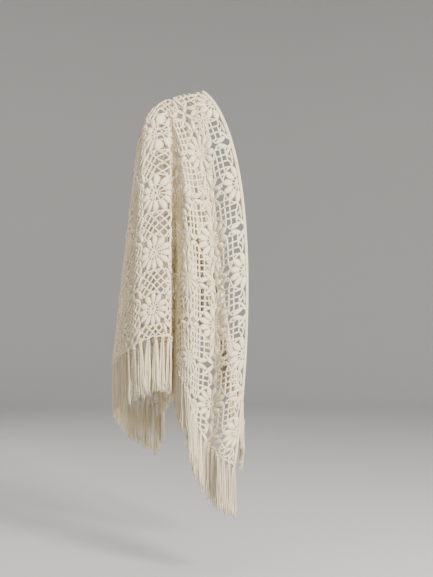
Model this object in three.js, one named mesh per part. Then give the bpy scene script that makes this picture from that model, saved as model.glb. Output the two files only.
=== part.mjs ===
// A triangular crocheted wool shawl of square flower motifs, in the drape it has when worn over one shoulder.
// The flat cloth has x along its long edge towards the front tip and y from the long edge into the cloth.
// The worn shawl has +Z up, its front towards -Y, and its origin at the inner end of the shoulder ridge.
import * as THREE from "three";

// Sizes of the flat cloth, in mm.
const SQUARE_SIDE = 165;
const SQUARES_PER_LEG = 9;
const SEAM_GAP = 0.3;
const WALL = 3;
const FLOWER_RAISE = 2.2;
const BAND_WIDTH = 12;
const CORNER_LIFT = 0.45;

// Radii of the rings of one motif, and the places of its joins along a side.
const PETAL_CREST = 34;
const FLOWER_RIM = 52;
const SIDE_HOLE_END = 69;
const CORNER_HOLE_END = 76;
const PETALS = 12;
const HOLE_HALF_ANGLE = 8.5;
const SIDE_JOINS = [-60, -12, 12, 60];

// Sizes of the fringe.
const FRINGE_LENGTH = 156;
const FRINGE_SPREAD = 16;
const STRIP_DEPTH = 8;
const STRIP_WALL = 3.2;
const STRIP_DROP = 0.5;
const KNOTS_PER_SQUARE = 6;
const STRANDS_PER_KNOT = 2;
const KNOT_SPREAD = 9;
const STRAND_WIDTH = 4;
const STRAND_TAPER = 0.2;
const STRETCHES_PER_LEG = 3;

const HALF_DIAGONAL = SQUARE_SIDE / Math.SQRT2;
const HALF_LONG_EDGE = SQUARES_PER_LEG * HALF_DIAGONAL;
const DEGREE = Math.PI / 180;

// The ridge that carries the cloth, from its inner end at the long edge over the shoulder to its outer end.
const RIDGE_FLAT = [
  [-58, 0],
  [-68, 165],
  [-140, 237],
];
const RIDGE_WORN = [
  [0, 12, 4],
  [-138, 2, -34],
  [-186, 8, -104],
];

// The lines along which the cloth hangs. Each leaves the ridge at a place and a flat bearing, turns down
// at the break, and passes a plan position halfway down and one at the hem.
// The hang is its share of the usual stretch.
const HANG_COLUMNS =
  "name ridge bearing hang breakX breakY midX midY hemX hemY".split(" ");
const HANG_LINES = [
  ["front_edge", 0, 0, 0.985, 112, -112, 134, -126, 92, -116],
  ["front_ridge", 0.35, 0, 1, 74, -120, 86, -146, 50, -140],
  ["front_dip", 0.72, 0, 1, 24, -112, 38, -106, 8, -104],
  ["front_swell", 1, 0, 0.975, -22, -102, -10, -118, -24, -130],
  ["front_turn", 1, 7, 0.955, -42, -98, -42, -122, -58, -120],
  ["fold_wall", 1, 12, 0.95, -50, -92, -66, -94, -84, -78],
  ["fold_root", 1, 22, 0.97, -76, -68, -86, -32, -97, 34],
  ["fold_return", 1, 31, 0.99, -94, -62, -108, -52, -122, -40],
  ["arm_crest", 1, 38, 0.995, -108, -66, -104, -90, -102, -106],
  ["arm_front", 1, 45, 1, -146, -64, -150, -98, -154, -120],
  ["arm_middle", 1.5, 45, 0.985, -182, -56, -190, -92, -198, -114],
  ["arm_side", 2, 45, 0.96, -194, -36, -215, -66, -230, -84],
  ["side", 2, 53, 0.97, -199, -10, -236, -22, -266, -28],
  ["outer", 2, 62, 0.98, -200, 18, -249, 44, -288, 62],
  ["flap", 2, 71, 1.03, -198, 40, -226, 94, -240, 140],
  ["corner", 2, 80, 1.01, -196, 56, -184, 118, -165, 170],
];

// Behind the shoulder the cloth falls in even round folds, from the corner to the back edge.
const BACK_LINES = 28;
const BACK_FOLDS = 4;
const BACK_SWING = 1.8;
const BACK_SWING_MID = 1.2;
const BACK_HEM_LENGTH = 860;
const BACK_MID_LENGTH = 350;
const BACK_PHASE = 0.2;
const RIDGE_RETURN = 0.448;
const BACK_HEM_START = [-165, 170];
const BACK_MID_START = [-184, 118];
const BACK_BREAK_DEPTH = 92;
const BACK_BREAK_RISE = 36;
const BACK_BREAK_SHIFT = [-10, 18];

const STRETCH_AT_RIDGE = 1.24;
const STRETCH_AT_HEM = 0.95;
const TURN_SHARE = 0.95;
const FALL_STEPS = 96;
const LINES_BETWEEN = 40;

// The ridge bends in the flat cloth, and is a smooth curve over the shoulder.
function ridgeFlat(place) {
  const i = place < 1 ? 0 : 1;
  const f = place - i;
  return RIDGE_FLAT[i].map((v, k) => v + (RIDGE_FLAT[i + 1][k] - v) * f);
}

function ridgeWorn(q) {
  const first = ((q - 1) * (q - 2)) / 2;
  const second = -q * (q - 2);
  const third = (q * (q - 1)) / 2;
  return RIDGE_WORN[0].map((v, k) => v * first + RIDGE_WORN[1][k] * second + RIDGE_WORN[2][k] * third);
}

// The plan of the back folds: a line whose heading swings evenly from side to side.
function backPlan(start, length, swing, share) {
  const steps = 240;
  const at = [...start];
  for (let k = 0; k < steps; k += 1) {
    const t = (share * (k + 0.5)) / steps;
    const heading = -swing * Math.sin(2 * Math.PI * BACK_FOLDS * t - BACK_PHASE);
    at[0] += (length * share * Math.cos(heading)) / steps;
    at[1] += (length * share * Math.sin(heading)) / steps;
  }
  return at;
}

function backLine(k) {
  const share = k / BACK_LINES;
  const place = share < RIDGE_RETURN ? 2 : (2 * (1 - share)) / (1 - RIDGE_RETURN);
  const [x, y] = ridgeFlat(place);
  const hemX = -HALF_LONG_EDGE * share;
  const hemY = HALF_LONG_EDGE * (1 - share);
  const bearing = Math.atan2(hemY - y, hemX - x) / DEGREE;
  const breakX = ridgeWorn(place)[0] + BACK_BREAK_SHIFT[0] + BACK_BREAK_SHIFT[1] * share;
  const breakY = BACK_BREAK_DEPTH - BACK_BREAK_RISE * (1 - share) ** 3;
  const mid = backPlan(BACK_MID_START, BACK_MID_LENGTH, BACK_SWING_MID, share);
  const hem = backPlan(BACK_HEM_START, BACK_HEM_LENGTH, BACK_SWING, share);
  return ["back_" + k, place, bearing, 1, breakX, breakY, ...mid, ...hem];
}

for (let k = 1; k <= BACK_LINES; k += 1) HANG_LINES.push(backLine(k));

const column = (name) => HANG_LINES.map((row) => row[HANG_COLUMNS.indexOf(name)]);
const RIDGE_PLACE = column("ridge");
const BEARING = column("bearing");
const SMOOTH = ["hang", "breakX", "breakY", "midX", "midY", "hemX", "hemY"].map(column);
const LAST_LINE = HANG_LINES.length - 1;

function linearAt(list, s) {
  const i = Math.max(0, Math.min(Math.floor(s), LAST_LINE - 1));
  return list[i] + (list[i + 1] - list[i]) * (s - i);
}

// A smooth curve through the rows of one column.
function smoothAt(list, s) {
  const i = Math.max(0, Math.min(Math.floor(s), LAST_LINE - 1));
  const f = s - i;
  const p0 = list[Math.max(i - 1, 0)];
  const p1 = list[i];
  const p2 = list[i + 1];
  const p3 = list[Math.min(i + 2, LAST_LINE)];
  const second = 2 * p0 - 5 * p1 + 4 * p2 - p3;
  const third = 3 * p1 - p0 - 3 * p2 + p3;
  return 0.5 * (2 * p1 + (p2 - p0) * f + second * f * f + third * f * f * f);
}

// One hanging line in the flat cloth: its root, its direction and its length down to the hem.
function flatLine(s) {
  const place = linearAt(RIDGE_PLACE, s);
  const [x, y] = ridgeFlat(place);
  const angle = linearAt(BEARING, s) * DEGREE;
  const dx = Math.cos(angle);
  const dy = Math.sin(angle);
  const toFrontLeg = (HALF_LONG_EDGE - x - y) / (dx + dy);
  const toBackLeg = (HALF_LONG_EDGE + x - y) / (dy - dx);
  const lengths = [toFrontLeg, toBackLeg].filter((v) => v > 0);
  return { s, place, x, y, dx, dy, length: Math.min(...lengths) };
}

const FLAT_LINES = Array.from({ length: LAST_LINE * LINES_BETWEEN + 1 }, (_, i) =>
  flatLine(i / LINES_BETWEEN),
);

const across = (line, x, y) => line.dx * (y - line.y) - line.dy * (x - line.x);
const along = (line, x, y) => line.dx * (x - line.x) + line.dy * (y - line.y);

// The hanging line through a flat point, and the point's distance down it.
function locate(x, y) {
  let found = null;
  for (let i = 0; i < FLAT_LINES.length - 1; i += 1) {
    const before = across(FLAT_LINES[i], x, y);
    const after = across(FLAT_LINES[i + 1], x, y);
    const ahead = Math.max(along(FLAT_LINES[i], x, y), along(FLAT_LINES[i + 1], x, y));
    if (before < -1e-6 || after > 1e-6 || ahead < -1e-6) continue;
    const share = before === after ? 0 : before / (before - after);
    const line = flatLine(FLAT_LINES[i].s + share / LINES_BETWEEN);
    const down = along(line, x, y);
    if (!found || down < found.down) found = { line, down };
  }
  if (found) return found;
  const front = FLAT_LINES[0];
  const back = FLAT_LINES[FLAT_LINES.length - 1];
  const line = along(front, x, y) > along(back, x, y) ? front : back;
  return { line, down: Math.max(along(line, x, y), 0) };
}

// The worn place of a flat point: out from the ridge, over the turn, and down by the length that is left.
function wornPoint(x, y) {
  const { line, down } = locate(x, y);
  const [hang, breakX, breakY, midX, midY, hemX, hemY] = SMOOTH.map((list) => smoothAt(list, line.s));
  const root = ridgeWorn(line.place);
  const turn = Math.hypot(breakX - root[0], breakY - root[1]) * TURN_SHARE;
  const plan = (distance) => {
    const f = Math.min(distance / line.length, 1);
    const lowX = breakX + (4 * midX - 3 * breakX - hemX) * f + 2 * (breakX - 2 * midX + hemX) * f * f;
    const lowY = breakY + (4 * midY - 3 * breakY - hemY) * f + 2 * (breakY - 2 * midY + hemY) * f * f;
    const out = 1 - Math.exp(-distance / turn);
    return [root[0] + (lowX - root[0]) * out, root[1] + (lowY - root[1]) * out];
  };
  const step = down / FALL_STEPS;
  let z = root[2];
  let here = plan(0);
  for (let k = 1; k <= FALL_STEPS; k += 1) {
    const next = plan(step * k);
    const f = Math.min((step * (k - 0.5)) / line.length, 1);
    const stretch = (STRETCH_AT_RIDGE + (STRETCH_AT_HEM - STRETCH_AT_RIDGE) * f) * hang;
    const sideways = Math.hypot(next[0] - here[0], next[1] - here[1]);
    const fall = (stretch * step) ** 2 - sideways ** 2;
    z -= Math.sqrt(Math.max(fall, (0.02 * step) ** 2));
    here = next;
  }
  return new THREE.Vector3(here[0], here[1], z);
}

// A worn point and the direction out of the cloth there.
const NORMAL_STEP = 6;
function wornFrame(x, y) {
  const low = Math.max(y - NORMAL_STEP, 0);
  const alongX = wornPoint(x + NORMAL_STEP, y).sub(wornPoint(x - NORMAL_STEP, y));
  const alongY = wornPoint(x, y + NORMAL_STEP).sub(wornPoint(x, low));
  const normal = alongY.cross(alongX).normalize();
  return { at: wornPoint(x, y), normal };
}

// Both sides of a seam split their twisted edge faces the same way, by this order of their flat points.
const seamOrder = (p) => 0.73 * p.x + 1.37 * p.y;

// A closed wall over flat points: each has its heights above and below the cloth, and loops are its edges.
// Where a strand hangs from an edge, the edge face is drawn down to the strand's tip instead.
function wallGeometry(points, faces, loops, strandLength = () => 0) {
  const count = points.length;
  const position = [];
  const index = [];
  const addPoint = (v) => position.push(v.x, v.y, v.z) / 3 - 1;
  const pointAt = (i) => new THREE.Vector3().fromArray(position, 3 * i);
  const frames = points.map((p) => wornFrame(p.x, p.y));
  points.forEach((p, i) => addPoint(frames[i].at.clone().addScaledVector(frames[i].normal, p.over)));
  points.forEach((p, i) => addPoint(frames[i].at.clone().addScaledVector(frames[i].normal, -p.under)));
  faces.forEach(([a, b, c]) => {
    index.push(a, c, b);
    index.push(a + count, b + count, c + count);
  });
  const hangStrand = (a, b, length) => {
    const root = [a, b, b + count, a + count];
    const middle = new THREE.Vector3();
    root.forEach((i) => middle.addScaledVector(pointAt(i), 0.25));
    const tip = root.map((i) => {
      const corner = pointAt(i).lerp(middle, STRAND_TAPER);
      corner.z = middle.z - length;
      return addPoint(corner);
    });
    root.forEach((low, i) => {
      const next = (i + 1) % 4;
      index.push(low, root[next], tip[next]);
      index.push(low, tip[next], tip[i]);
    });
    index.push(tip[0], tip[1], tip[2]);
    index.push(tip[0], tip[2], tip[3]);
  };
  loops.forEach((loop) => {
    loop.forEach((a, i) => {
      const b = loop[(i + 1) % loop.length];
      const length = strandLength(a, b);
      if (length > 0) {
        hangStrand(a, b, length);
      } else if (seamOrder(points[a]) > seamOrder(points[b])) {
        index.push(a, b, b + count);
        index.push(a, b + count, a + count);
      } else {
        index.push(a, b, a + count);
        index.push(b, b + count, a + count);
      }
    });
  });
  const geometry = new THREE.BufferGeometry();
  geometry.setAttribute("position", new THREE.Float32BufferAttribute(position, 3));
  geometry.setIndex(index);
  return geometry;
}

// Triangles between two rows of point numbers that run side by side, told apart by their angles.
function strip(inner, outer, angleInner, angleOuter) {
  const faces = [];
  let i = 0;
  let j = 0;
  while (i < inner.length - 1 || j < outer.length - 1) {
    const outerNext = j < outer.length - 1 ? angleOuter[j + 1] : Infinity;
    const innerNext = i < inner.length - 1 ? angleInner[i + 1] : Infinity;
    if (outerNext < innerNext) {
      faces.push([inner[i], outer[j], outer[j + 1]]);
      j += 1;
    } else {
      faces.push([inner[i], outer[j], inner[i + 1]]);
      i += 1;
    }
  }
  return faces;
}

// The rings of one motif over a range of angles, from its middle out to its four straight sides.
// Corners lie at 0, 90, 180 and 270 degrees, because the squares stand on point to the long edge.
const QUARTERS = [0, 90, 180, 270];

function sidePoint(quarter, t) {
  const half = SQUARE_SIDE / 2;
  const angle = (quarter + 45) * DEGREE;
  return [half * Math.cos(angle) - t * Math.sin(angle), half * Math.sin(angle) + t * Math.cos(angle)];
}

function motifRings(from, to) {
  const inRange = (a) => a >= from && a <= to;
  const stations = [];
  QUARTERS.concat([360]).forEach((q) => {
    [-HOLE_HALF_ANGLE, HOLE_HALF_ANGLE].forEach((a) => stations.push({ angle: q + a, corner: true }));
    [-HOLE_HALF_ANGLE, HOLE_HALF_ANGLE].forEach((a) => stations.push({ angle: q + 45 + a, corner: false }));
  });
  const kept = stations.filter((s) => inRange(s.angle));
  const crest = [];
  for (let k = 0; k <= PETALS; k += 1) crest.push((k * 360) / PETALS);
  const border = [];
  QUARTERS.forEach((q) => {
    border.push({ angle: q, at: sidePoint(q, -SQUARE_SIDE / 2) });
    SIDE_JOINS.forEach((t) => {
      const at = sidePoint(q, t);
      const angle = (Math.atan2(at[1], at[0]) / DEGREE + 360) % 360;
      border.push({ angle, at });
    });
  });
  border.push({ angle: 360, at: sidePoint(0, -SQUARE_SIDE / 2) });
  return { kept, crest: crest.filter(inRange), border: border.filter((b) => inRange(b.angle)) };
}

const polar = (radius, angle) => [radius * Math.cos(angle * DEGREE), radius * Math.sin(angle * DEGREE)];

// One whole square: a raised flower, eight gaps between it and the sides, and a border all round.
function squareMotif(centre) {
  const points = [];
  const inset = (SQUARE_SIDE - SEAM_GAP) / SQUARE_SIDE;
  const add = ([x, y], raise) => {
    const flatY = Math.max(centre[1] + y * inset, BAND_WIDTH + SEAM_GAP + CORNER_LIFT);
    points.push({ x: centre[0] + x * inset, y: flatY, over: WALL / 2 + raise, under: WALL / 2 });
    return points.length - 1;
  };
  const { kept, crest, border } = motifRings(0, 359.9);
  const middle = add([0, 0], 0);
  const crestIds = crest.map((a) => add(polar(PETAL_CREST, a), FLOWER_RAISE));
  const rimIds = kept.map((s) => add(polar(FLOWER_RIM, s.angle), 0));
  const frameIds = kept.map((s) => add(polar(s.corner ? CORNER_HOLE_END : SIDE_HOLE_END, s.angle), 0));
  const borderIds = border.map((b) => add(b.at, 0));
  const close = (list) => list.concat([list[0]]);
  const closeAngle = (list) => list.concat([list[0] + 360]);
  const faces = [];
  crestIds.forEach((a, i) => faces.push([middle, a, crestIds[(i + 1) % crestIds.length]]));
  const rimAngles = closeAngle(kept.map((s) => s.angle));
  faces.push(...strip(close(crestIds), close(rimIds), closeAngle(crest), rimAngles));
  const borderAngles = closeAngle(border.map((b) => b.angle));
  faces.push(...strip(close(frameIds), close(borderIds), rimAngles, borderAngles));
  const loops = [borderIds];
  kept.forEach((s, i) => {
    const j = (i + 1) % kept.length;
    const open = s.corner === kept[j].corner;
    if (open) {
      loops.push([rimIds[j], rimIds[i], frameIds[i], frameIds[j]].reverse());
    } else {
      faces.push([rimIds[i], frameIds[i], frameIds[j]]);
      faces.push([rimIds[i], frameIds[j], rimIds[j]]);
    }
  });
  return wallGeometry(points, faces, loops);
}

// At the two tips the long edge stops short of the hem.
function withinLegs(x, y) {
  const most = HALF_LONG_EDGE - y - SEAM_GAP;
  return Math.max(-most, Math.min(most, x));
}

// One half square on the long edge, cut along the band, with one gap at its inner corner.
function halfMotif(centre) {
  const points = [];
  const inset = (SQUARE_SIDE - SEAM_GAP) / SQUARE_SIDE;
  const foot = BAND_WIDTH + SEAM_GAP;
  const add = ([x, y], raise) => {
    const flatY = Math.max(y * inset, foot);
    const flatX = withinLegs(centre[0] + x * inset, flatY);
    points.push({ x: flatX, y: flatY, over: WALL / 2 + raise, under: WALL / 2 });
    return points.length - 1;
  };
  const { kept, crest, border } = motifRings(0, 180);
  const inner = kept.filter((s) => s.angle > 2 * HOLE_HALF_ANGLE && s.angle < 180 - 2 * HOLE_HALF_ANGLE);
  const stations = [{ angle: 0 }, ...inner, { angle: 180 }];
  const frameRadius = (s) => (s.corner ? CORNER_HOLE_END : SIDE_HOLE_END);
  const middle = add([0, 0], 0);
  const crestIds = crest.map((a) => add(polar(PETAL_CREST, a), a === 0 || a === 180 ? 0 : FLOWER_RAISE));
  const rimIds = stations.map((s) => add(polar(FLOWER_RIM, s.angle), 0));
  const frameIds = stations.map((s) => add(polar(frameRadius(s), s.angle), 0));
  const borderIds = border.map((b) => add(b.at, 0));
  const angles = stations.map((s) => s.angle);
  const faces = [];
  crestIds.slice(0, -1).forEach((a, i) => faces.push([middle, a, crestIds[i + 1]]));
  faces.push(...strip(crestIds, rimIds, crest, angles));
  faces.push(...strip(frameIds, borderIds, angles, border.map((b) => b.angle)));
  const last = (list) => list[list.length - 1];
  const foots = [last(frameIds), last(rimIds), last(crestIds), middle, crestIds[0], rimIds[0], frameIds[0]];
  const loops = [[...borderIds, ...foots]];
  stations.slice(0, -1).forEach((s, i) => {
    const open = s.corner === true && stations[i + 1].corner === true;
    if (open) {
      loops.push([rimIds[i + 1], rimIds[i], frameIds[i], frameIds[i + 1]].reverse());
    } else {
      faces.push([rimIds[i], frameIds[i], frameIds[i + 1]]);
      faces.push([rimIds[i], frameIds[i + 1], rimIds[i + 1]]);
    }
  });
  return wallGeometry(points, faces, loops);
}

// A stretch of the narrow band on the long edge, with a join wherever a half square has one.
function edgeBand(firstHalf, halves) {
  const marks = [];
  for (let k = 0; k < halves; k += 1) {
    const x = -HALF_LONG_EDGE + HALF_DIAGONAL * (2 * (firstHalf + k) + 1);
    const offsets = [-HALF_DIAGONAL, -SIDE_HOLE_END, -FLOWER_RIM, -PETAL_CREST, 0];
    const right = offsets.slice(1, -1).map((v) => -v).reverse();
    [...offsets, ...right].forEach((v) => marks.push(x + v));
  }
  marks.push(-HALF_LONG_EDGE + 2 * HALF_DIAGONAL * (firstHalf + halves));
  marks[0] += SEAM_GAP / 2;
  marks[marks.length - 1] -= SEAM_GAP / 2;
  const points = [];
  [0, BAND_WIDTH].forEach((y) => {
    marks.forEach((x) => points.push({ x: withinLegs(x, y), y, over: WALL / 2, under: WALL / 2 }));
  });
  const n = marks.length;
  const faces = [];
  for (let i = 0; i < n - 1; i += 1) {
    faces.push([i, i + 1, i + 1 + n]);
    faces.push([i, i + 1 + n, i + n]);
  }
  const low = Array.from({ length: n }, (_, i) => i);
  const high = low.map((i) => i + n).reverse();
  return wallGeometry(points, faces, [[...low, ...high]]);
}

// The hem runs down the front leg from the front tip to the corner, then up the back leg to the back tip.
const LEG = SQUARE_SIDE * SQUARES_PER_LEG;
function hemPoint(distance, beyond) {
  const onFront = distance <= LEG;
  const done = onFront ? distance / LEG : (distance - LEG) / LEG;
  const out = beyond / Math.SQRT2;
  if (onFront) return [HALF_LONG_EDGE * (1 - done) + out, HALF_LONG_EDGE * done + out];
  return [-HALF_LONG_EDGE * done - out, HALF_LONG_EDGE * (1 - done) + out];
}

// A repeatable number from 0 to 1 for each strand.
function spread(n) {
  const v = Math.sin(n * 12.9898 + 4.1414) * 43758.5453;
  return v - Math.floor(v);
}

// A stretch of fringe: a strip just below the hem, with its strands hanging from it.
function fringe(firstSquare, squares, firstStrand) {
  const start = SQUARE_SIDE * firstSquare + 2 * SEAM_GAP;
  const end = SQUARE_SIDE * (firstSquare + squares) - 2 * SEAM_GAP;
  const top = [start];
  for (let k = 0; k < squares; k += 1) {
    const middle = SQUARE_SIDE * (firstSquare + k + 0.5);
    SIDE_JOINS.forEach((t) => top.push(middle + t));
    if (k < squares - 1) top.push(middle + SQUARE_SIDE / 2);
  }
  top.push(end);
  const bottom = [start];
  const count = squares * KNOTS_PER_SQUARE * STRANDS_PER_KNOT;
  const pitch = SQUARE_SIDE / KNOTS_PER_SQUARE;
  for (let k = 0; k < count; k += 1) {
    const knot = Math.floor(k / STRANDS_PER_KNOT);
    const turn = (k % STRANDS_PER_KNOT) - (STRANDS_PER_KNOT - 1) / 2;
    const d = SQUARE_SIDE * firstSquare + pitch * (knot + 0.5) + turn * KNOT_SPREAD;
    bottom.push(d - STRAND_WIDTH / 2, d + STRAND_WIDTH / 2);
  }
  bottom.push(end);
  const points = [];
  const addRow = (row, beyond, wall) =>
    row.map((d) => {
      const [x, y] = hemPoint(d, beyond);
      return points.push({ x, y, over: wall / 2, under: wall / 2 }) - 1;
    });
  const topIds = addRow(top, STRIP_DROP, WALL);
  const bottomIds = addRow(bottom, STRIP_DROP + STRIP_DEPTH, STRIP_WALL);
  const faces = strip(topIds, bottomIds, top, bottom).map(([a, b, c]) => [a, b, c]);
  const strandLength = (a, b) => {
    const first = Math.min(a, b) - bottomIds[0];
    const isStrand = first > 0 && first % 2 === 1 && Math.abs(a - b) === 1;
    if (!isStrand || first > 2 * count) return 0;
    return FRINGE_LENGTH + (spread(firstStrand + first) - 0.5) * FRINGE_SPREAD;
  };
  return wallGeometry(points, faces, [[...bottomIds, ...[...topIds].reverse()]], strandLength);
}

const part = new THREE.Group();
part.name = "lace_shawl";

function addMesh(name, geometry, colour) {
  const material = new THREE.MeshStandardMaterial({ color: colour, roughness: 0.9 });
  const mesh = new THREE.Mesh(geometry, material);
  mesh.name = name;
  part.add(mesh);
}

const CREAM = 0xe9e2cf;
const EDGE_CREAM = 0xe4dcc6;
const FRINGE_CREAM = 0xeee8d8;

// Rows run beside the front leg, and the first is the one at the hem.
for (let row = 0; row < SQUARES_PER_LEG; row += 1) {
  for (let place = 0; place < SQUARES_PER_LEG - row; place += 1) {
    const sum = HALF_LONG_EDGE - HALF_DIAGONAL * (2 * row + 1);
    const y = HALF_DIAGONAL * place;
    const centre = [sum - y, y];
    const name = "r" + (row + 1) + "_" + (place + 1);
    if (place === 0) addMesh("half_" + (row + 1), halfMotif(centre), CREAM);
    else addMesh("square_" + name, squareMotif(centre), CREAM);
  }
}

const BAND_STRETCHES = 3;
for (let k = 0; k < BAND_STRETCHES; k += 1) {
  const halves = SQUARES_PER_LEG / BAND_STRETCHES;
  addMesh("edge_" + (k + 1), edgeBand(k * halves, halves), EDGE_CREAM);
}

const SQUARES_PER_STRETCH = SQUARES_PER_LEG / STRETCHES_PER_LEG;
for (let k = 0; k < 2 * STRETCHES_PER_LEG; k += 1) {
  addMesh("fringe_" + (k + 1), fringe(k * SQUARES_PER_STRETCH, SQUARES_PER_STRETCH, k * 100), FRINGE_CREAM);
}

export default part;
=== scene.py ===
# Looks of a triangular crocheted wool shawl that hangs over one shoulder, built on the form of its solids.
# The flat cloth has x along its long edge towards the front tip and y from the long edge into the cloth.
# The worn shawl has +Z up and its front towards -Y. Cloth and yarn sizes are in mm, the stage is in metres.
import math

import bpy
import numpy as np
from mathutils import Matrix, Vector


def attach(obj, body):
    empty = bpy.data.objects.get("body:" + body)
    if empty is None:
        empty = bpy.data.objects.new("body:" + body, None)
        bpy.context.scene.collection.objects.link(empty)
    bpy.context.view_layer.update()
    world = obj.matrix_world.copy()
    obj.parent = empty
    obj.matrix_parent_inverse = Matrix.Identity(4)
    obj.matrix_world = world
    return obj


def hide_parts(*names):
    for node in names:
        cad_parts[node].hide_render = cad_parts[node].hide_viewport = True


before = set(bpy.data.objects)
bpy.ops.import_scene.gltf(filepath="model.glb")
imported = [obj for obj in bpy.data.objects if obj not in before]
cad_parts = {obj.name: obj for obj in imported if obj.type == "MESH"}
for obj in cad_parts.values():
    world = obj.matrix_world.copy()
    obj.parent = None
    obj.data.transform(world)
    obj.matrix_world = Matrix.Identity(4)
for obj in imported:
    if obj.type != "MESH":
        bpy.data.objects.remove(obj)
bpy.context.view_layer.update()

# Sizes of the flat cloth.
SQUARE_SIDE = 165.0
SQUARES_PER_LEG = 9
BAND_WIDTH = 12.0
HALF_SIDE = SQUARE_SIDE / 2
HALF_DIAGONAL = SQUARE_SIDE / math.sqrt(2)
HALF_LONG_EDGE = SQUARES_PER_LEG * HALF_DIAGONAL
LEG = SQUARE_SIDE * SQUARES_PER_LEG
MM = 0.001

# The ridge that carries the cloth, from its inner end at the long edge over the shoulder to its outer end.
RIDGE_FLAT = np.array([[-58.0, 0], [-68, 165], [-140, 237]])
RIDGE_WORN = np.array([[0.0, 12, 4], [-138, 2, -34], [-186, 8, -104]])

# The lines along which the cloth hangs. Each leaves the ridge at a place and a flat bearing, turns down
# at the break, and passes a plan position halfway down and one at the hem.
# The hang is its share of the usual stretch.
HANG_COLUMNS = ["ridge", "bearing", "hang", "break_x", "break_y", "mid_x", "mid_y", "hem_x", "hem_y"]
HANG_LINES = [
    [0, 0, 0.985, 112, -112, 134, -126, 92, -116],
    [0.35, 0, 1, 74, -120, 86, -146, 50, -140],
    [0.72, 0, 1, 24, -112, 38, -106, 8, -104],
    [1, 0, 0.975, -22, -102, -10, -118, -24, -130],
    [1, 7, 0.955, -42, -98, -42, -122, -58, -120],
    [1, 12, 0.95, -50, -92, -66, -94, -84, -78],
    [1, 22, 0.97, -76, -68, -86, -32, -97, 34],
    [1, 31, 0.99, -94, -62, -108, -52, -122, -40],
    [1, 38, 0.995, -108, -66, -104, -90, -102, -106],
    [1, 45, 1, -146, -64, -150, -98, -154, -120],
    [1.5, 45, 0.985, -182, -56, -190, -92, -198, -114],
    [2, 45, 0.96, -194, -36, -215, -66, -230, -84],
    [2, 53, 0.97, -199, -10, -236, -22, -266, -28],
    [2, 62, 0.98, -200, 18, -249, 44, -288, 62],
    [2, 71, 1.03, -198, 40, -226, 94, -240, 140],
    [2, 80, 1.01, -196, 56, -184, 118, -165, 170],
]

# Behind the shoulder the cloth falls in even round folds, from the corner to the back edge.
BACK_LINES = 28
BACK_FOLDS = 4
BACK_SWING = 1.8
BACK_SWING_MID = 1.2
BACK_HEM_LENGTH = 860.0
BACK_MID_LENGTH = 350.0
BACK_PHASE = 0.2
RIDGE_RETURN = 0.448
BACK_HEM_START = (-165.0, 170.0)
BACK_MID_START = (-184.0, 118.0)
BACK_BREAK_DEPTH = 92.0
BACK_BREAK_RISE = 36.0
BACK_BREAK_SHIFT = (-10.0, 18.0)
BACK_PLAN_STEPS = 240

# How the cloth stretches, how fast it turns at the break, and the steps in which its fall is worked out.
STRETCH_AT_RIDGE = 1.24
STRETCH_AT_HEM = 0.95
TURN_SHARE = 0.95
FALL_STEPS = 96
LEAST_FALL = 0.02
LINES_BETWEEN = 20
EDGE_SLACK = 1e-6

# The worn places are worked out on a flat grid with a margin past the hem.
GRID_STEP = 4.0
GRID_MARGIN = 24.0
GRID_CHUNK = 1500


def ridge_flat(place):
    """The flat place of the ridge, which bends at its middle."""
    place = np.asarray(place, float)
    first = (place >= 1).astype(int)
    share = (place - first)[..., None]
    return RIDGE_FLAT[first] * (1 - share) + RIDGE_FLAT[np.minimum(first + 1, 2)] * share


def ridge_worn(place):
    """The worn place of the ridge, a smooth curve over the shoulder."""
    q = np.asarray(place, float)[..., None]
    first = (q - 1) * (q - 2) / 2
    second = -q * (q - 2)
    third = q * (q - 1) / 2
    return RIDGE_WORN[0] * first + RIDGE_WORN[1] * second + RIDGE_WORN[2] * third


def back_plan(start, length, swing, share):
    """The plan of the back folds: a line whose heading swings evenly from side to side."""
    t = share * (np.arange(BACK_PLAN_STEPS) + 0.5) / BACK_PLAN_STEPS
    heading = -swing * np.sin(2 * math.pi * BACK_FOLDS * t - BACK_PHASE)
    step = length * share / BACK_PLAN_STEPS
    return start[0] + step * np.cos(heading).sum(), start[1] + step * np.sin(heading).sum()


def back_line(k):
    """One generated hanging line behind the shoulder."""
    share = k / BACK_LINES
    place = 2.0 if share < RIDGE_RETURN else 2 * (1 - share) / (1 - RIDGE_RETURN)
    x, y = ridge_flat(place)
    bearing = math.degrees(math.atan2(HALF_LONG_EDGE * (1 - share) - y, -HALF_LONG_EDGE * share - x))
    break_x = ridge_worn(place)[0] + BACK_BREAK_SHIFT[0] + BACK_BREAK_SHIFT[1] * share
    break_y = BACK_BREAK_DEPTH - BACK_BREAK_RISE * (1 - share) ** 3
    mid = back_plan(BACK_MID_START, BACK_MID_LENGTH, BACK_SWING_MID, share)
    hem = back_plan(BACK_HEM_START, BACK_HEM_LENGTH, BACK_SWING, share)
    return [place, bearing, 1, break_x, break_y, *mid, *hem]


HANG_TABLE = np.array(HANG_LINES + [back_line(k) for k in range(1, BACK_LINES + 1)], float)
COLUMN = {name: HANG_TABLE[:, i] for i, name in enumerate(HANG_COLUMNS)}
LAST_LINE = len(HANG_TABLE) - 1


def through(p0, p1, p2, p3, f):
    """The smooth curve through four values in a row, at a share f of the way from the second to the third."""
    second = 2 * p0 - 5 * p1 + 4 * p2 - p3
    third = 3 * p1 - p0 - 3 * p2 + p3
    return 0.5 * (2 * p1 + (p2 - p0) * f + second * f**2 + third * f**3)


def linear_at(name, s):
    """Straight lines through the rows of one column."""
    return np.interp(s, np.arange(LAST_LINE + 1), COLUMN[name])


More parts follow.
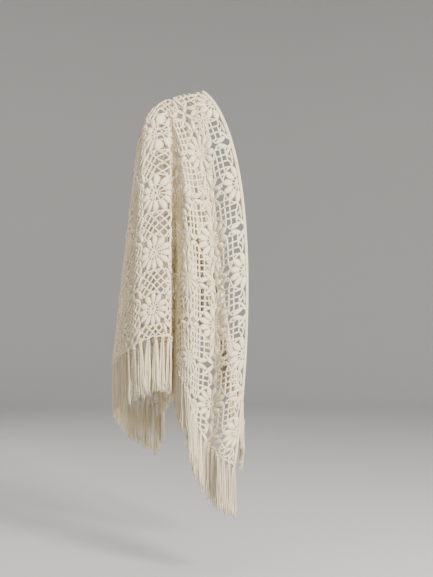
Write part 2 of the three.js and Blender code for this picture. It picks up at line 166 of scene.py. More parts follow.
def smooth_at(name, s):
    """A smooth curve through the rows of one column."""
    values = COLUMN[name]
    i = np.clip(np.floor(s).astype(int), 0, LAST_LINE - 1)
    before = values[np.maximum(i - 1, 0)]
    beyond = values[np.minimum(i + 2, LAST_LINE)]
    return through(before, values[i], values[i + 1], beyond, s - i)


def flat_line(s):
    """The flat root, direction and length of the hanging lines at s."""
    root = ridge_flat(linear_at("ridge", s))
    angle = np.radians(linear_at("bearing", s))
    dx, dy = np.cos(angle), np.sin(angle)
    x, y = root[..., 0], root[..., 1]
    with np.errstate(divide="ignore"):
        to_front = (HALF_LONG_EDGE - x - y) / (dx + dy)
        to_back = (HALF_LONG_EDGE + x - y) / (dy - dx)
    to_front = np.where(to_front > 0, to_front, np.inf)
    to_back = np.where(to_back > 0, to_back, np.inf)
    return x, y, dx, dy, np.minimum(to_front, to_back)


LINE_S = np.arange(LAST_LINE * LINES_BETWEEN + 1) / LINES_BETWEEN
LINE_X, LINE_Y, LINE_DX, LINE_DY, _ = flat_line(LINE_S)


def locate(x, y):
    """The hanging line through each flat point."""
    across = LINE_DX * (y[:, None] - LINE_Y) - LINE_DY * (x[:, None] - LINE_X)
    along = LINE_DX * (x[:, None] - LINE_X) + LINE_DY * (y[:, None] - LINE_Y)
    before, after = across[:, :-1], across[:, 1:]
    ahead = np.maximum(along[:, :-1], along[:, 1:])
    found = (before >= -EDGE_SLACK) & (after <= EDGE_SLACK) & (ahead >= -EDGE_SLACK)
    gap = before - after
    share = np.where(gap > EDGE_SLACK, before / np.where(gap > EDGE_SLACK, gap, 1), 0)
    down = along[:, :-1] * (1 - share) + along[:, 1:] * share
    pick = np.argmin(np.where(found, down, np.inf), axis=1)
    rows = np.arange(len(x))
    s = LINE_S[pick] + share[rows, pick] / LINES_BETWEEN
    at_front = along[:, 0] > along[:, -1]
    return np.where(found.any(axis=1), s, np.where(at_front, 0.0, float(LAST_LINE)))


def worn_points(x, y):
    """The worn places of flat points: out from the ridge, over the break, and down by the length left."""
    s = locate(x, y)
    line_x, line_y, dx, dy, length = flat_line(s)
    down = np.maximum(dx * (x - line_x) + dy * (y - line_y), 0)
    root = ridge_worn(linear_at("ridge", s))
    hang = smooth_at("hang", s)
    broke = np.stack([smooth_at("break_x", s), smooth_at("break_y", s)], 1)
    mid = np.stack([smooth_at("mid_x", s), smooth_at("mid_y", s)], 1)
    hem = np.stack([smooth_at("hem_x", s), smooth_at("hem_y", s)], 1)
    turn = np.linalg.norm(broke - root[:, :2], axis=1) * TURN_SHARE

    def plan(distance):
        f = np.minimum(distance / length, 1)[:, None]
        low = broke + (4 * mid - 3 * broke - hem) * f + 2 * (broke - 2 * mid + hem) * f**2
        out = (1 - np.exp(-distance / turn))[:, None]
        return root[:, :2] + (low - root[:, :2]) * out

    step = down / FALL_STEPS
    z = root[:, 2].copy()
    here = plan(np.zeros(len(x)))
    for k in range(1, FALL_STEPS + 1):
        ahead = plan(step * k)
        f = np.minimum(step * (k - 0.5) / length, 1)
        stretch = (STRETCH_AT_RIDGE + (STRETCH_AT_HEM - STRETCH_AT_RIDGE) * f) * hang
        fall = (stretch * step) ** 2 - ((ahead - here) ** 2).sum(axis=1)
        z -= np.sqrt(np.maximum(fall, (LEAST_FALL * step) ** 2))
        here = ahead
    return np.column_stack([here, z])


def make_grid():
    """Worn places and outward directions on the flat grid."""
    reach = HALF_LONG_EDGE + GRID_MARGIN
    xs = np.arange(-reach, reach + GRID_STEP, GRID_STEP)
    ys = np.arange(0, reach + GRID_STEP, GRID_STEP)
    grid_x, grid_y = np.meshgrid(xs, ys, indexing="ij")
    inside = np.abs(grid_x) + grid_y <= reach + 2 * GRID_STEP
    x, y = grid_x[inside], grid_y[inside]
    chunks = [slice(i, i + GRID_CHUNK) for i in range(0, len(x), GRID_CHUNK)]
    places = [worn_points(x[part], y[part]) for part in chunks]
    worn = np.full(grid_x.shape + (3,), np.nan)
    worn[inside] = np.vstack(places)
    along_x, along_y = np.gradient(worn, axis=(0, 1))
    normal = np.cross(along_y, along_x)
    normal /= np.linalg.norm(normal, axis=2, keepdims=True)
    return xs[0], worn, normal


GRID_X0, GRID_WORN, GRID_NORMAL = make_grid()


def drape(x, y):
    """Worn places and outward directions of flat points, read from the grid."""
    gx = (x - GRID_X0) / GRID_STEP
    gy = np.maximum(y, 0) / GRID_STEP
    i, j = np.floor(gx).astype(int), np.floor(gy).astype(int)
    fx, fy = (gx - i)[..., None], (gy - j)[..., None]

    def read(field):
        low = field[i, j] * (1 - fx) + field[i + 1, j] * fx
        high = field[i, j + 1] * (1 - fx) + field[i + 1, j + 1] * fx
        return low * (1 - fy) + high * fy

    normal = read(GRID_NORMAL)
    return read(GRID_WORN), normal / np.linalg.norm(normal, axis=-1, keepdims=True)


# Yarn sizes, and the sides of the tubes that stand for yarns.
CHAIN_RADIUS = 2.6
CORD_RADIUS = 2.4
RING_RADIUS = 2.4
CHAIN_SIDES = 6
STRAND_SIDES = 5
TWIST_PITCH = 5.5
LEAST_LENGTH = 1e-9

# The flower, from the middle of a square. Each ring has its number of points.
INNER_RING = 5.6
OUTER_RING = 10.0
SPOKE_MIDDLE = 16.5
PETAL_RING = 23.0
FLOWER_RINGS = ((INNER_RING, 16), (OUTER_RING, 20), (PETAL_RING, 36))
PETALS = 12
PETAL_TURN = 360 / PETALS
FIRST_PETAL = PETAL_TURN / 2
PETAL_BASE = 22.0
PETAL_TIP = 51.0
PETAL_WIDTH = 20.0
PETAL_THICKNESS = 8.0
PETAL_RAISE = 0.8
TIP_ARC_RISE = 0.5

# A leaf is puffed from strands side by side, which show as ridges along it.
LEAF_RINGS = 7
LEAF_SIDES = 20
LEAF_GROOVE = 0.8
LEAF_END = 0.22
LEAF_FULLNESS = 0.62
LEAF_BELLY = 0.92
LEAF_TURNS = LEAF_SIDES / 4

# The corner of a square: places along its diagonal and across it.
LEAF_BASE = (62.0, 3.5)
LEAF_TIP = (95.0, 14.5)
LEAF_WIDTH = 15.5
STEM_INSET = 1
STEM_BEND = (56.5, 10.2)
LEAD_BEND = (105, 7.0)
CORNER_END = (113.5, 1.5)

# The net along a side of a square: places outwards from its middle and along the side.
NET_LOW = 58.5
NET_MID = 70.5
NET_TOP = HALF_SIDE - 0.3
NET_STEP = 12.0
NET_KNEE = 57.5
TIP_INSIDE = PETAL_TIP - 1
TIP_OUTWARD = PETAL_TIP * math.cos(math.radians(PETAL_TURN))
TIP_ALONG = PETAL_TIP * math.sin(math.radians(PETAL_TURN))
SQUARE_NET = [
    [(TIP_INSIDE, 0), (NET_LOW, NET_STEP), (NET_MID, 2 * NET_STEP), (NET_TOP, 3 * NET_STEP)],
    [(TIP_OUTWARD, TIP_ALONG), (NET_LOW, NET_STEP), (NET_MID, 0), (NET_TOP, -NET_STEP)],
    [(TIP_OUTWARD, TIP_ALONG), (NET_KNEE, 3 * NET_STEP), (NET_MID, 2 * NET_STEP), (NET_TOP, NET_STEP)],
    [(NET_KNEE, 3 * NET_STEP), (62, 45)],
    [(70, 50), (NET_TOP - 2, 3 * NET_STEP)],
]
CHAIN_BETWEEN = 3
SHORT_BETWEEN = 2

# The straight cords beside a seam: where they lie, and where each starts and ends along the side.
SEAM_LINE = HALF_SIDE - 1.7
SQUARE_CORD = (35, 81)
SQUARE_CORD_POINTS = 8
HALF_CORDS = ((35, 81), (-35, -64))
HALF_CORD_POINTS = 7

# A half square stands on the band. Its leaves are places across and up, its net is as for a square.
HALF_FLOWER = (0, BAND_WIDTH + 0.5)
HALF_ARCS = (15, 45, 105, 135)
HALF_LEAF = ((3.5, 71), (13, 99))
HALF_LEAF_WIDTH = LEAF_WIDTH - 1
HALF_STEM = ((13.2, 61), (9.5, 66), HALF_LEAF[0])
HALF_LEAD = (HALF_LEAF[1], (6.5, 107), (1.5, 113.5))
SIDE_LEAF = ((60, 20), (92, 17))
SIDE_LEAF_WIDTH = 9
HALF_NET = [
    [(58.0, 8.5), (NET_MID, 0), (NET_TOP, -12)],
    [(58.0, 8.5), (66, 17), (NET_MID, 24), (NET_TOP, 36)],
    [(51.0, -16.5), (62, -8), (NET_MID, 0), (NET_TOP, 12)],
    [(51.0, 33.5), (62, 27), (NET_MID, 24), (NET_TOP, 12)],
    [(51.0, -16.5), (62, -24), (NET_MID, -24), (NET_TOP, -12)],
    [(NET_MID, -24), (NET_TOP, -36)],
    [(51.0, 33.5), (60, 42), (62, 46)],
    [(52.0, -18), (60, -34), (NET_TOP, -36)],
]


class Yarns:
    """The flat yarn lines and leaves of one pattern."""

    def __init__(self):
        self.lines = []
        self.leaves = []

    def add(self, points, radius, sides=CHAIN_SIDES, closed=False):
        """A yarn along flat points, which may have heights."""
        points = np.asarray(points, float)
        if points.shape[1] == 2:
            points = np.column_stack([points, np.zeros(len(points))])
        self.lines.append((points, np.broadcast_to(radius, len(points)), sides, closed))

    def add_leaf(self, base, tip, width):
        """A ridged leaf from base to tip, as rings of flat points with heights."""
        base, tip = np.asarray(base, float), np.asarray(tip, float)
        axis = tip - base
        side = np.array([-axis[1], axis[0]]) / np.linalg.norm(axis)
        t = 0.5 - 0.5 * np.cos(math.pi * np.linspace(0, 1, LEAF_RINGS))
        swell = LEAF_END + (1 - LEAF_END) * np.sin(math.pi * t**LEAF_BELLY) ** LEAF_FULLNESS
        turn = 2 * math.pi * np.arange(LEAF_SIDES) / LEAF_SIDES
        ridge = np.where(np.arange(LEAF_SIDES) % 2 == 0, 1, LEAF_GROOVE)
        across = swell[:, None] * (np.cos(turn) * ridge) * width / 2
        height = swell[:, None] * (np.sin(turn) * ridge) * PETAL_THICKNESS / 2 + PETAL_RAISE
        flat = base + axis * t[:, None, None] + side * across[..., None]
        self.leaves.append(np.concatenate([flat, height[..., None]], axis=2))


def smooth_path(points, between):
    """A smooth line through points, with some more points between each two."""
    p = np.asarray(points, float)
    ends = np.vstack([2 * p[0] - p[1], p, 2 * p[-1] - p[-2]])
    out = []
    for i in range(len(p) - 1):
        for f in np.arange(between) / between:
            out.append(through(*ends[i : i + 4], f))
    return np.array(out + [p[-1]])


def turned(points, degrees, centre=(0, 0)):
    """Flat points turned about the origin and moved to a centre."""
    p = np.asarray(points, float)
    a = math.radians(degrees)
    x = p[:, 0] * math.cos(a) - p[:, 1] * math.sin(a) + centre[0]
    y = p[:, 0] * math.sin(a) + p[:, 1] * math.cos(a) + centre[1]
    return np.column_stack([x, y, *p[:, 2:].T])


def ring_points(radius, end, count, closed):
    """Points round a ring, from 0 degrees to its end."""
    angles = np.radians(np.linspace(0, end, count, endpoint=not closed))
    return np.column_stack([radius * np.cos(angles), radius * np.sin(angles)])


def add_flower(yarns, centre, petals):
    """The rings, spokes and petals of a flower, or of half a flower."""
    whole = petals == PETALS
    end = 360 if whole else 180
    for radius, count in FLOWER_RINGS:
        points = ring_points(radius, end, count if whole else count // 2 + 1, whole) + centre
        yarns.add(points, RING_RADIUS, CHAIN_SIDES, whole)
    for k in range(petals):
        angle = FIRST_PETAL + PETAL_TURN * k
        spoke = [[OUTER_RING, 0], [SPOKE_MIDDLE, 0], [PETAL_RING, 0]]
        yarns.add(turned(spoke, angle, centre), CORD_RADIUS, STRAND_SIDES)
        yarns.add_leaf(*turned([[PETAL_BASE, 0], [PETAL_TIP, 0]], angle, centre), PETAL_WIDTH)


def tip_arc(angle, centre):
    """A short chain from one petal's tip to the next."""
    low, high = PETAL_TIP - TIP_ARC_RISE, PETAL_TIP + TIP_ARC_RISE
    shape = [[low, 0], [high, PETAL_TURN / 2], [low, PETAL_TURN]]
    points = [[r * math.cos(math.radians(a)), r * math.sin(math.radians(a))] for r, a in shape]
    return smooth_path(turned(points, angle, centre), SHORT_BETWEEN)


def square_pattern():
    """The yarns of one square. Its corners lie along x and y, because it stands on point to the long edge."""
    yarns = Yarns()
    middle = (0, 0)
    add_flower(yarns, middle, PETALS)
    tip_x = PETAL_TIP * math.cos(math.radians(FIRST_PETAL)) - STEM_INSET
    tip_y = PETAL_TIP * math.sin(math.radians(FIRST_PETAL))
    for corner in (0, 90, 180, 270):
        side = corner + 45
        for arc in (FIRST_PETAL, FIRST_PETAL + PETAL_TURN):
            yarns.add(tip_arc(corner + arc, middle), CHAIN_RADIUS)
        for sign in (1, -1):

            def mirrored(points):
                return [(out, sign * across) for out, across in points]

            yarns.add_leaf(*turned(mirrored([LEAF_BASE, LEAF_TIP]), corner), LEAF_WIDTH)
            stem = smooth_path(mirrored([(tip_x, tip_y), STEM_BEND, LEAF_BASE]), SHORT_BETWEEN)
            yarns.add(turned(stem, corner), CHAIN_RADIUS)
            lead = smooth_path(mirrored([LEAF_TIP, LEAD_BEND, CORNER_END]), SHORT_BETWEEN)
            yarns.add(turned(lead, corner), CORD_RADIUS)
            for path in SQUARE_NET:
                yarns.add(turned(smooth_path(mirrored(path), CHAIN_BETWEEN), side), CHAIN_RADIUS)
            ends = mirrored([(SEAM_LINE, along) for along in SQUARE_CORD])
            yarns.add(turned(np.linspace(*ends, SQUARE_CORD_POINTS), side), CORD_RADIUS)
    return yarns


def half_pattern():
    """The yarns of one half square, which stands on the band of the long edge."""
    yarns = Yarns()
    add_flower(yarns, HALF_FLOWER, PETALS // 2)
    for arc in HALF_ARCS:
        yarns.add(tip_arc(arc, HALF_FLOWER), CHAIN_RADIUS)
    for sign in (1, -1):

        def mirrored(points):
            return np.asarray(points, float) * (sign, 1)

        yarns.add_leaf(*mirrored(HALF_LEAF), HALF_LEAF_WIDTH)
        yarns.add(smooth_path(mirrored(HALF_STEM), SHORT_BETWEEN), CHAIN_RADIUS)
        yarns.add(smooth_path(mirrored(HALF_LEAD), SHORT_BETWEEN), CORD_RADIUS)
        yarns.add_leaf(*mirrored(SIDE_LEAF), SIDE_LEAF_WIDTH)
        for path in HALF_NET:
            yarns.add(mirrored(turned(smooth_path(path, CHAIN_BETWEEN), 45)), CHAIN_RADIUS)
        for low, high in HALF_CORDS:
            cord = np.linspace((SEAM_LINE, low), (SEAM_LINE, high), HALF_CORD_POINTS)
            yarns.add(mirrored(turned(cord, 45)), CORD_RADIUS)
    return yarns


class Solid:
    """A mesh gathered from yarn tubes, with the length and turn of each yarn as its texture place."""

    def __init__(self):
        self.points = []
        self.quads = []
        self.caps = []
        self.places = []
        self.count = 0

    def add_tubes(self, path, normal, radius, sides, closed):
        """Tubes along worn paths, as tubes by points by 3. The normal is the way out of the cloth there."""
        tubes = len(path)
        if closed:
            tangent = np.roll(path, -1, axis=1) - np.roll(path, 1, axis=1)
        else:
            tangent = np.gradient(path, axis=1)
        tangent /= np.linalg.norm(tangent, axis=2, keepdims=True)
        across = np.cross(tangent, normal)
        across /= np.maximum(np.linalg.norm(across, axis=2, keepdims=True), LEAST_LENGTH)
        out = np.cross(across, tangent)
        turn = 2 * math.pi * np.arange(sides) / sides
        ring = np.cos(turn)[:, None] * out[:, :, None, :] + np.sin(turn)[:, None] * across[:, :, None, :]
        points = path[:, :, None, :] + ring * np.asarray(radius)[None, :, None, None]
        steps = np.linalg.norm(np.diff(path, axis=1), axis=2)
        run = np.concatenate([np.zeros((tubes, 1)), np.cumsum(steps, axis=1)], axis=1) / TWIST_PITCH
        self.add_rings(points, run, 1.0, closed)

    def add_rings(self, points, run, turns, closed):
        """Skins over rings of points, as skins by rings by sides by 3. The run is the length in twists."""
        skins, length, sides = points.shape[:3]
        if closed:
            run = np.concatenate([run, run[:, -1:] + 1], axis=1)
        segments = length if closed else length - 1
        skin, i, j = np.meshgrid(np.arange(skins), np.arange(segments), np.arange(sides), indexing="ij")
        after_i, after_j = (i + 1) % length, (j + 1) % sides
        base = self.count + skin * length * sides
        quad = [base + i * sides + j, base + i * sides + after_j]
        quad += [base + after_i * sides + after_j, base + after_i * sides + j]
        near, far = run[skin, i], run[skin, i + 1]
        left, right = j * turns / sides, (j + 1) * turns / sides
        place = [(near, left), (near, right), (far, right), (far, left)]
        self.quads.append(np.stack(quad, -1).reshape(-1, 4))
        self.places.append(np.stack([np.stack(corner, -1) for corner in place], -2).reshape(-1, 2))
        if not closed:
            start = self.count + np.arange(skins)[:, None] * length * sides
            self.caps.append((start + np.arange(sides)[::-1], sides))
            self.caps.append((start + (length - 1) * sides + np.arange(sides), sides))
        self.points.append(points.reshape(-1, 3))
        self.count += skins * length * sides

    def add_pattern(self, yarns, centres):
        """A flat pattern laid on the cloth at each centre."""
        centres = np.asarray(centres, float)
        for points, radius, sides, closed in yarns.lines:
            x = centres[:, None, 0] + points[None, :, 0]
            y = centres[:, None, 1] + points[None, :, 1]
            worn, normal = drape(x, y)
            self.add_tubes(worn + normal * points[None, :, 2:3], normal, radius, sides, closed)
        for leaf in yarns.leaves:
            x = centres[:, None, None, 0] + leaf[..., 0]
            y = centres[:, None, None, 1] + leaf[..., 1]
            worn, normal = drape(x, y)
            run = np.linspace(0, PETAL_TIP - PETAL_BASE, LEAF_RINGS) / TWIST_PITCH
            run = np.broadcast_to(run, (len(centres), LEAF_RINGS))
            self.add_rings(worn + normal * leaf[..., 2:3], run, LEAF_TURNS, False)

    def make(self, name, material):
        """The gathered mesh as an object, smooth and in metres."""
        corners = [q.ravel() for q in self.quads]
        sizes = [np.full(len(q), 4) for q in self.quads]
        places = list(self.places)
        for loop, sides in self.caps:
            corners.append(loop.ravel())
            sizes.append(np.full(len(loop), sides))
            places.append(np.zeros((loop.size, 2)))
        corners, sizes = np.concatenate(corners), np.concatenate(sizes)
        points, places = np.vstack(self.points) * MM, np.vstack(places)
        mesh = bpy.data.meshes.new(name)
        mesh.vertices.add(len(points))
        mesh.vertices.foreach_set("co", points.astype(np.float32).ravel())
        mesh.loops.add(len(corners))
        mesh.loops.foreach_set("vertex_index", corners.astype(np.int32))
        mesh.polygons.add(len(sizes))
        starts = np.concatenate([[0], np.cumsum(sizes)[:-1]])
        mesh.polygons.foreach_set("loop_start", starts.astype(np.int32))
        mesh.uv_layers.new(name="yarn").data.foreach_set("uv", places.astype(np.float32).ravel())
        mesh.update(calc_edges=True)
        mesh.validate()
        mesh.polygons.foreach_set("use_smooth", np.ones(len(mesh.polygons), bool))
        made = bpy.data.objects.new(name, mesh)
        bpy.context.scene.collection.objects.link(made)
        made.data.materials.append(material)
        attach(made, "root")
        return made


# Wool colours: two of the cream wool's own tones, and a darker colour painted into the hollows between the
# plies as shade.
WOOL_LIGHT = (0.90, 0.81, 0.60, 1)
WOOL_WARM = (0.81, 0.69, 0.46, 1)
WOOL_PLY_SHADE = (0.56, 0.44, 0.28, 1)
PLIES = 3.0
TONE_SCALE = 14
TONE_DETAIL = 3
FIBRE_SCALE = 1400
FIBRE_DETAIL = 4
FIBRE_SHARE = 0.6
# How wide the painted shade in the ply grooves is, and the least share of the wool's own tone that is kept
# there.
GROOVE_SHADE_WIDTH = 0.45
GROOVE_SHADE_LEVEL = 0.45
BUMP_STRENGTH = 0.7
BUMP_HEIGHT = 0.0006
WOOL_SURFACE = {
    "Roughness": 0.92,
    "Specular IOR Level": 0.25,
    "Sheen Weight": 0.35,
    "Sheen Roughness": 0.5,
    "Sheen Tint": (1, 0.95, 0.86, 1),
}


def wool(name):
    """Twisted cream wool: plies along each yarn with painted shade in the grooves between them, soft fibre
    bump and slow changes of tone.
    """
    material = bpy.data.materials.new(name)
    material.use_nodes = True
    nodes, links = material.node_tree.nodes, material.node_tree.links
    shader = nodes["Principled BSDF"]

    def node(kind, **values):
        made = nodes.new(kind)
        for key, value in values.items():
            setattr(made, key, value)
        return made

    def math_node(operation, first, second):
        made = node("ShaderNodeMath", operation=operation)
        for socket, value in zip(made.inputs, (first, second)):
            if isinstance(value, (int, float)):
                socket.default_value = value
            else:
                links.new(value, socket)
        return made.outputs[0]

    place = node("ShaderNodeUVMap", uv_map="yarn")
    split = node("ShaderNodeSeparateXYZ")
    links.new(place.outputs[0], split.inputs[0])
    phase = math_node("ADD", split.outputs[0], math_node("MULTIPLY", split.outputs[1], PLIES))
    ply = math_node("ABSOLUTE", math_node("SINE", math_node("MULTIPLY", phase, math.pi), 0), 0)
    coordinates = node("ShaderNodeTexCoord")

    def noise(scale, detail):
        made = node("ShaderNodeTexNoise")
        made.inputs["Scale"].default_value = scale
        made.inputs["Detail"].default_value = detail
        links.new(coordinates.outputs["Object"], made.inputs["Vector"])
        return made.outputs["Fac"]

    slow = noise(TONE_SCALE, TONE_DETAIL)
    fibre = noise(FIBRE_SCALE, FIBRE_DETAIL)

    tone = node("ShaderNodeMix", data_type="RGBA")
    tone.inputs[6].default_value = WOOL_LIGHT
    tone.inputs[7].default_value = WOOL_WARM
    links.new(slow, tone.inputs[0])
    # Painted shade: the base colour is mixed towards a darker colour in the hollows between the plies.
    shaded = node("ShaderNodeMix", data_type="RGBA")
    shaded.inputs[6].default_value = WOOL_PLY_SHADE
    links.new(tone.outputs[2], shaded.inputs[7])
    groove_shade = node("ShaderNodeMapRange")
    groove_shade.inputs["From Max"].default_value = GROOVE_SHADE_WIDTH
    groove_shade.inputs["To Min"].default_value = GROOVE_SHADE_LEVEL
    links.new(ply, groove_shade.inputs["Value"])
    links.new(groove_shade.outputs[0], shaded.inputs[0])
    links.new(shaded.outputs[2], shader.inputs["Base Color"])

    height = math_node("ADD", ply, math_node("MULTIPLY", fibre, FIBRE_SHARE))
    bump = node("ShaderNodeBump")
    bump.inputs["Strength"].default_value = BUMP_STRENGTH
    bump.inputs["Distance"].default_value = BUMP_HEIGHT
    links.new(height, bump.inputs["Height"])
    links.new(bump.outputs[0], shader.inputs["Normal"])
    for socket, value in WOOL_SURFACE.items():
        shader.inputs[socket].default_value = value
    return material


lace_wool = wool("lace_wool")
edge_wool = wool("edge_wool")
fringe_wool = wool("fringe_wool")


def make_rows():
    """The rows of squares. Each runs beside the front leg, and the first is the one at the hem."""
    square, half = square_pattern(), half_pattern()
    made = []
    for row in range(SQUARES_PER_LEG):
        total = HALF_LONG_EDGE - HALF_DIAGONAL * (2 * row + 1)
        heights = HALF_DIAGONAL * np.arange(1, SQUARES_PER_LEG - row)
        solid = Solid()
        solid.add_pattern(half, [(total, 0)])
        if len(heights):
            solid.add_pattern(square, np.column_stack([total - heights, heights]))
        piece = solid.make(f"row_{row + 1}", lace_wool)
        nodes = [f"half_{row + 1}"]
        nodes += [f"square_r{row + 1}_{place + 2}" for place in range(len(heights))]
        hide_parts(*nodes)
        made.append((piece, len(heights)))
    return made


# The band of the long edge: three cords, with slanting stitches over them.
BAND_CORDS = (2.2, 5.8, 9.6)
BAND_CORD_RADIUS = 2.0
BAND_STEP = 7.0
STITCH_STEP = 6.5
STITCH_RADIUS = 1.3
BAND_END = 3
STITCH_END = 16

# One stitch over the band: places along it, across it and out of it.
STITCH = np.array([[0, 1.5, 1.0], [1.5, 4, 2.3], [3, 7.5, 2.3], [4.5, 11, 1.0]])


def make_band():
    """The edge band, with its cords and stitches."""
    solid = Solid()
    for y in BAND_CORDS:
        reach = HALF_LONG_EDGE - y - BAND_END
        x = np.linspace(-reach, reach, int(2 * reach / BAND_STEP))
        worn, normal = drape(x, np.full(len(x), y))
        solid.add_tubes(worn[None], normal[None], np.full(len(x), BAND_CORD_RADIUS), CHAIN_SIDES, False)
    starts = np.arange(-HALF_LONG_EDGE + STITCH_END, HALF_LONG_EDGE - STITCH_END, STITCH_STEP)
    across = np.broadcast_to(STITCH[:, 1], (len(starts), len(STITCH)))
    worn, normal = drape(starts[:, None] + STITCH[:, 0], across)
    path = worn + normal * STITCH[:, 2, None]
    solid.add_tubes(path, normal, np.full(len(STITCH), STITCH_RADIUS), STRAND_SIDES, False)
    piece = solid.make("edge_band", edge_wool)
    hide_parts("edge_1", "edge_2", "edge_3")
    return piece


# The fringe: a cord that runs in small scallops along the hem, and knotted locks of loose yarns.
KNOTS_PER_SQUARE = 6
KNOT_PITCH = SQUARE_SIDE / KNOTS_PER_SQUARE
YARNS_PER_LOCK = 15
FRINGE_LENGTH = 157.0
FRINGE_SPREAD = 26.0
HEM_OUT = 0.8
HEM_SCALLOP = 3.2
HEM_STEP = 5.5
HEM_RADIUS = 2.3
KNOT_DROP = 9.0
KNOT_RADIUS = 4.2
KNOT_SHIFT = 2.3
KNOT_SIDES = 8
KNOT_YARN_RADIUS = 1.6
LOCK_WIDTH = 12.5
LOCK_DEPTH = 4.0
LOCK_SWAY = 3.0
LOCK_POINTS = 11
FRINGE_YARN_RADIUS = 1.3
FRINGE_SIDES = 4
WAVE_HEIGHT = (0.6, 2.4)
WAVE_COUNT = (1.0, 2.6)
FACE_WAVE = 0.5
HEM_END = 2
LOOP_LONGER = 1.4
COLLAR_WIDER = 0.8
LEAST_REACH = 0.02
LOCK_OPENING = 0.7
SWAY_BEND = 1.5
FRONT_SEED = 7
BACK_SEED = 8


def hem_points(distance, beyond):
    """Flat places along the hem: down the front leg to the corner, then up the back leg."""
    done = distance / LEG
    out = beyond / math.sqrt(2)
    on_front = done <= 1
    x = np.where(on_front, HALF_LONG_EDGE * (1 - done) + out, -HALF_LONG_EDGE * (done - 1) - out)
    y = np.where(on_front, HALF_LONG_EDGE * done + out, HALF_LONG_EDGE * (2 - done) + out)
    return x, y


def unit(vectors):
    """Vectors at a length of one."""
    return vectors / np.linalg.norm(vectors, axis=-1, keepdims=True)


def circle(centre, first, second, wide, deep):
    """Closed loops of points round centres, in the plane of two directions."""
    turn = 2 * math.pi * np.arange(KNOT_SIDES) / KNOT_SIDES
    out = np.cos(turn)[:, None] * first[:, None] * wide
    return centre[:, None] + out + np.sin(turn)[:, None] * second[:, None] * deep


def make_fringe(name, start, seed, nodes):
    """The hem cord and the locks of one short side of the shawl."""
    rng = np.random.default_rng(seed)
    solid = Solid()
    d = np.linspace(start + HEM_END, start + LEG - HEM_END, int(LEG / HEM_STEP))
    dip = HEM_OUT + HEM_SCALLOP * np.sin(math.pi * d / KNOT_PITCH) ** 2
    worn, normal = drape(*hem_points(d, dip))
    solid.add_tubes(worn[None], normal[None], np.full(len(d), HEM_RADIUS), CHAIN_SIDES, False)

    knots = start + KNOT_PITCH * (np.arange(SQUARES_PER_LEG * KNOTS_PER_SQUARE) + 0.5)
    count = len(knots)
    root, normal = drape(*hem_points(knots, HEM_OUT + HEM_SCALLOP))
    ahead, _ = drape(*hem_points(knots + 1, HEM_OUT + HEM_SCALLOP))
    along = unit(ahead - root)
    down = np.broadcast_to([0, 0, -1.0], root.shape)
    level = unit(np.cross(down, normal))
    face = np.cross(level, down)
    thick = np.full(KNOT_SIDES, KNOT_YARN_RADIUS)
    for shift in (-KNOT_SHIFT, KNOT_SHIFT):
        centre = root + along * shift + down * KNOT_SHIFT
        loop = circle(centre, normal, down, KNOT_RADIUS, KNOT_RADIUS + LOOP_LONGER)
        solid.add_tubes(loop, np.broadcast_to(along[:, None], loop.shape), thick, STRAND_SIDES, True)
    collar_centre = root + down * KNOT_DROP
    collar = circle(collar_centre, level, face, KNOT_RADIUS + COLLAR_WIDER, KNOT_RADIUS)
    solid.add_tubes(collar, np.broadcast_to(-down[:, None], collar.shape), thick, STRAND_SIDES, True)

    t = np.linspace(0, 1, LOCK_POINTS)
    sway = rng.normal(0, LOCK_SWAY, (count, 2))
    radius = np.full(LOCK_POINTS, FRINGE_YARN_RADIUS)
    for _ in range(YARNS_PER_LOCK):
        angle = rng.uniform(0, 2 * math.pi, count)
        reach = np.sqrt(rng.uniform(LEAST_REACH, 1, count))
        near = KNOT_RADIUS * reach[:, None] * (1 - t)
        open_out = t**LOCK_OPENING
        side_at = np.cos(angle)[:, None] * (near + LOCK_WIDTH * reach[:, None] * open_out)
        face_at = np.sin(angle)[:, None] * (near + LOCK_DEPTH * reach[:, None] * open_out)
        waves = rng.uniform(*WAVE_COUNT, (count, 1)) * t + rng.uniform(0, 1, (count, 1))
        wave = rng.uniform(*WAVE_HEIGHT, (count, 1)) * np.sin(2 * math.pi * waves) * t
        side_at = side_at + wave + sway[:, :1] * t**SWAY_BEND
        face_at = face_at + wave * FACE_WAVE + sway[:, 1:] * t**SWAY_BEND
        length = FRINGE_LENGTH - KNOT_DROP + rng.uniform(-0.5, 0.5, count) * FRINGE_SPREAD
        path = collar_centre[:, None] + level[:, None] * side_at[..., None]
        path = path + face[:, None] * face_at[..., None]
        path = path + down[:, None] * (length[:, None] * t - KNOT_YARN_RADIUS)[..., None]
        solid.add_tubes(path, np.broadcast_to(face[:, None], path.shape), radius, FRINGE_SIDES, False)
    piece = solid.make(name, fringe_wool)
    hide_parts(*nodes)
    return piece


# Each row is a sheet of its own, and the band and the two fringes are pieces of their own.
rows = make_rows()
band = make_band()
front_fringe = make_fringe("front_fringe", 0, FRONT_SEED, ["fringe_1", "fringe_2", "fringe_3"])
back_fringe = make_fringe("back_fringe", LEG, BACK_SEED, ["fringe_4", "fringe_5", "fringe_6"])


# Stage: a pale round floor that curves up all round, soft studio light, and the camera.
FLOOR_LEVEL = -1.48
FLOOR_RADIUS = 4.2
STAGE_BEND = 2.2
STAGE_TOP = 4.6
STAGE_SIDES = 96
BEND_STEPS = 16
STAGE_COLOUR = (0.50, 0.50, 0.495, 1)
STAGE_ROUGHNESS = 0.9
MIDDLE = (-0.05, 0, -0.6)

# Each light: its name, place, target, size, power and colour.
LIGHTS = [
    ("key", (1.9, -2.4, 0.7), MIDDLE, (1.0, 1.4), 300, (1, 0.965, 0.91)),
    ("fill", (-2.6, 1.6, 0.2), MIDDLE, (1.8, 2.2), 55, (1, 0.92, 0.85)),
    ("top", (0, 0, 3.6), (0, 0.001, -1), (6.0, 6.0), 170, (1, 0.99, 0.97)),
]
WORLD_COLOUR = (1, 0.95, 0.91, 1)
WORLD_STRENGTH = 0.14
CAMERA_PLACE = (0.036, -3.0, -0.609)
CAMERA_LENS = 60.4
CAMERA_SENSOR = 36
CAMERA_REACH = 50


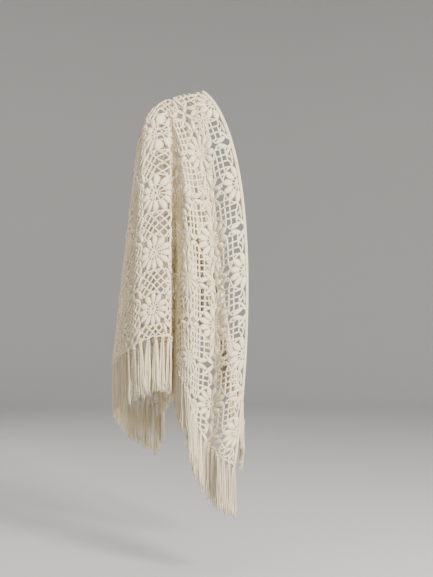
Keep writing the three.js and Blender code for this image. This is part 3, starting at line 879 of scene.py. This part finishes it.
def make_stage():
    """A shallow round bowl of studio paper, which looks the same from every side."""
    profile = [(FLOOR_RADIUS, FLOOR_LEVEL)]
    for k in range(1, BEND_STEPS + 1):
        a = math.pi / 2 * k / BEND_STEPS
        radius = FLOOR_RADIUS + STAGE_BEND * math.sin(a)
        profile.append((radius, FLOOR_LEVEL + STAGE_BEND * (1 - math.cos(a))))
    profile.append((FLOOR_RADIUS + STAGE_BEND, STAGE_TOP))
    turns = [2 * math.pi * k / STAGE_SIDES for k in range(STAGE_SIDES)]
    points = [(r * math.cos(a), r * math.sin(a), z) for r, z in profile for a in turns]
    faces = [tuple(range(STAGE_SIDES))]
    for i in range(len(profile) - 1):
        for j in range(STAGE_SIDES):
            after = (j + 1) % STAGE_SIDES
            low, high = i * STAGE_SIDES, (i + 1) * STAGE_SIDES
            faces.append((low + after, low + j, high + j, high + after))
    mesh = bpy.data.meshes.new("stage")
    mesh.from_pydata(points, [], faces)
    mesh.polygons.foreach_set("use_smooth", np.ones(len(faces), bool))
    stage = bpy.data.objects.new("stage", mesh)
    bpy.context.scene.collection.objects.link(stage)
    material = bpy.data.materials.new("stage_paper")
    material.use_nodes = True
    shader = material.node_tree.nodes["Principled BSDF"]
    shader.inputs["Base Color"].default_value = STAGE_COLOUR
    shader.inputs["Roughness"].default_value = STAGE_ROUGHNESS
    mesh.materials.append(material)


def add_light(name, place, target, size, power, colour):
    """A soft rectangular light, aimed at its target."""
    data = bpy.data.lights.new(name, "AREA")
    data.shape = "RECTANGLE"
    data.size, data.size_y = size
    data.energy = power
    data.color = colour
    light = bpy.data.objects.new(name, data)
    bpy.context.scene.collection.objects.link(light)
    light.location = place
    aim = np.array(target) - np.array(place)
    light.rotation_mode = "QUATERNION"
    light.rotation_quaternion = Vector(aim).to_track_quat("-Z", "Y")


make_stage()
for light in LIGHTS:
    add_light(*light)

world = bpy.data.worlds.new("studio")
bpy.context.scene.world = world
world.use_nodes = True
background = world.node_tree.nodes["Background"]
background.inputs["Color"].default_value = WORLD_COLOUR
background.inputs["Strength"].default_value = WORLD_STRENGTH

camera_data = bpy.data.cameras.new("camera")
camera_data.sensor_width = CAMERA_SENSOR
camera_data.lens = CAMERA_LENS
camera_data.clip_end = CAMERA_REACH
camera = bpy.data.objects.new("camera", camera_data)
bpy.context.scene.collection.objects.link(camera)
camera.location = CAMERA_PLACE
camera.rotation_euler = (math.pi / 2, 0, 0)
bpy.context.scene.camera = camera
